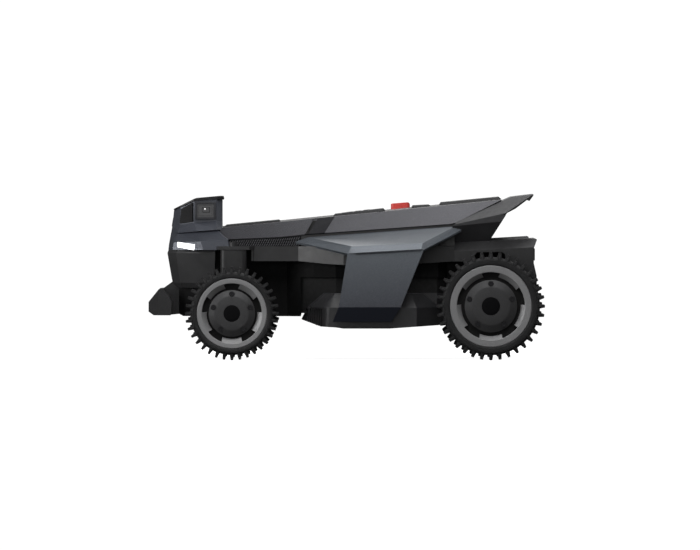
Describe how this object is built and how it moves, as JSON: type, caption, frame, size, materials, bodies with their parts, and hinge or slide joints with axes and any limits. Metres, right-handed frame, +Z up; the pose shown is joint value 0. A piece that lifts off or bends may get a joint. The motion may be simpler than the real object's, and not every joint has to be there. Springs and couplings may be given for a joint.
{
  "type": "robotic lawn mower",
  "caption": "Self-driving lawn mower with a faceted body, lugged drive wheels, steered front wheels, a height-adjusted cutting deck with swinging blades and a sprung bumper.",
  "frame": {"origin": "on the ground, under the middle of the machine's length and width", "axes": "+X forward, +Y to the machine's left, +Z up"},
  "size_m": [0.734, 0.51, 0.3064],
  "materials": {
    "black_plastic": "moulded, fine grain",
    "deck_plastic": "moulded, satin",
    "waist_plastic": "satin, lightly grained",
    "head_paint": "satin",
    "gloss_black": "gloss",
    "bezel_grey": "satin metallic",
    "lens_glass": "coated lens",
    "headlight": "lit diffuser",
    "panel_paint": "satin metallic paint",
    "flank_paint": "satin metallic paint",
    "contact_metal": "plated",
    "motor_metal": "cast, satin",
    "steel": "brushed",
    "screw_metal": "brushed",
    "tyre_rubber": "moulded rubber",
    "rim_grey": "satin metallic",
    "cap_grey": "satin metallic",
    "stop_red": "satin",
    "board_green": "solder mask"
  },
  "bodies": {
    "chassis": {"chassis_tub": "black_plastic", "waist_shell": "waist_plastic", "nose_shell": "waist_plastic", "head_shell": "head_paint", "head_roof": "head_paint", "camera_windows": "gloss_black", "camera_housings": "bezel_grey", "camera_lenses": "lens_glass", "headlight_lenses": "headlight", "left_side_panel": "panel_paint", "right_side_panel": "panel_paint", "top_cover": "panel_paint", "control_pane": "gloss_black", "rear_shell": "waist_plastic", "charging_contacts": "contact_metal", "spoiler": "panel_paint", "left_flank_panel": "flank_paint", "right_flank_panel": "flank_paint", "rear_motors": "motor_metal", "guide_rods": "steel", "lift_motor": "motor_metal", "battery_pack": "black_plastic", "battery_cover": "black_plastic", "main_board": "board_green", "chassis_screws": "screw_metal"},
    "bumper": {"front_bumper": "black_plastic"},
    "left_steer": {"left_steering_column": "black_plastic", "left_steering_motor": "motor_metal", "front_left_motor": "motor_metal"},
    "right_steer": {"right_steering_column": "black_plastic", "right_steering_motor": "motor_metal", "front_right_motor": "motor_metal"},
    "front_left_wheel": {"front_left_tyre": "tyre_rubber", "front_left_rim": "rim_grey", "front_left_hub_cap": "cap_grey", "front_left_hub_screws": "screw_metal"},
    "front_right_wheel": {"front_right_tyre": "tyre_rubber", "front_right_rim": "rim_grey", "front_right_hub_cap": "cap_grey", "front_right_hub_screws": "screw_metal"},
    "rear_left_wheel": {"rear_left_tyre": "tyre_rubber", "rear_left_rim": "rim_grey", "rear_left_hub_cap": "cap_grey", "rear_left_hub_screws": "screw_metal"},
    "rear_right_wheel": {"rear_right_tyre": "tyre_rubber", "rear_right_rim": "rim_grey", "rear_right_hub_cap": "cap_grey", "rear_right_hub_screws": "screw_metal"},
    "deck": {"cutting_deck": "deck_plastic", "blade_motors": "motor_metal"},
    "lift_screw_body": {"lift_screw": "steel"},
    "left_disc": {"left_blade_disc": "steel"},
    "left_blade_1_body": {"left_blade_1": "steel"},
    "left_blade_2_body": {"left_blade_2": "steel"},
    "left_blade_3_body": {"left_blade_3": "steel"},
    "right_disc": {"right_blade_disc": "steel"},
    "right_blade_1_body": {"right_blade_1": "steel"},
    "right_blade_2_body": {"right_blade_2": "steel"},
    "right_blade_3_body": {"right_blade_3": "steel"},
    "stop": {"stop_button": "stop_red"}
  },
  "joints": [
    {"name": "bumper_press", "type": "slide", "parent": "chassis", "child": "bumper", "axis": [-1, 0, 0], "range_m": [0, 0.008], "stiffness_N_per_m": 1500},
    {"name": "left_steering", "type": "hinge", "parent": "chassis", "child": "left_steer", "pos_m": [0.209, 0.148, 0.19], "axis": [0, 0, 1], "range_deg": [-30, 30]},
    {"name": "front_left_spin", "type": "hinge", "parent": "left_steer", "child": "front_left_wheel", "pos_m": [0.2115, 0.22, 0.0865], "axis": [0, 1, 0], "continuous": true},
    {"name": "rear_left_spin", "type": "hinge", "parent": "chassis", "child": "rear_left_wheel", "pos_m": [-0.267, 0.222, 0.1], "axis": [0, 1, 0], "continuous": true},
    {"name": "right_steering", "type": "hinge", "parent": "chassis", "child": "right_steer", "pos_m": [0.209, -0.148, 0.19], "axis": [0, 0, 1], "range_deg": [-30, 30]},
    {"name": "front_right_spin", "type": "hinge", "parent": "right_steer", "child": "front_right_wheel", "pos_m": [0.2115, -0.22, 0.0865], "axis": [0, 1, 0], "continuous": true},
    {"name": "rear_right_spin", "type": "hinge", "parent": "chassis", "child": "rear_right_wheel", "pos_m": [-0.267, -0.222, 0.1], "axis": [0, 1, 0], "continuous": true},
    {"name": "deck_height", "type": "slide", "parent": "chassis", "child": "deck", "axis": [0, 0, 1], "range_m": [-0.038, 0.025]},
    {"name": "lift_screw_turn", "type": "hinge", "parent": "chassis", "child": "lift_screw_body", "pos_m": [-0.155, 0, 0.15], "axis": [0, 0, 1], "range_deg": [-1200, 800]},
    {"name": "left_disc_spin", "type": "hinge", "parent": "deck", "child": "left_disc", "pos_m": [-0.04, 0.1, 0.0735], "axis": [0, 0, 1], "continuous": true},
    {"name": "left_blade_1_swing", "type": "hinge", "parent": "left_disc", "child": "left_blade_1_body", "pos_m": [0.01369, 0.131, 0.0693], "axis": [0, 0, 1], "continuous": true},
    {"name": "left_blade_2_swing", "type": "hinge", "parent": "left_disc", "child": "left_blade_2_body", "pos_m": [-0.09369, 0.131, 0.0693], "axis": [0, 0, 1], "continuous": true},
    {"name": "left_blade_3_swing", "type": "hinge", "parent": "left_disc", "child": "left_blade_3_body", "pos_m": [-0.04, 0.038, 0.0693], "axis": [0, 0, 1], "continuous": true},
    {"name": "right_disc_spin", "type": "hinge", "parent": "deck", "child": "right_disc", "pos_m": [-0.04, -0.1, 0.0735], "axis": [0, 0, 1], "continuous": true},
    {"name": "right_blade_1_swing", "type": "hinge", "parent": "right_disc", "child": "right_blade_1_body", "pos_m": [0.01369, -0.069, 0.0693], "axis": [0, 0, 1], "continuous": true},
    {"name": "right_blade_2_swing", "type": "hinge", "parent": "right_disc", "child": "right_blade_2_body", "pos_m": [-0.09369, -0.069, 0.0693], "axis": [0, 0, 1], "continuous": true},
    {"name": "right_blade_3_swing", "type": "hinge", "parent": "right_disc", "child": "right_blade_3_body", "pos_m": [-0.04, -0.162, 0.0693], "axis": [0, 0, 1], "continuous": true},
    {"name": "stop_press", "type": "slide", "parent": "chassis", "child": "stop", "axis": [0, 0, -1], "range_m": [0, 0.004], "stiffness_N_per_m": 500}
  ],
  "couplings": [
    {"joint": "lift_screw_turn", "follows": "deck_height", "rad_per_m": 523.6}
  ]
}
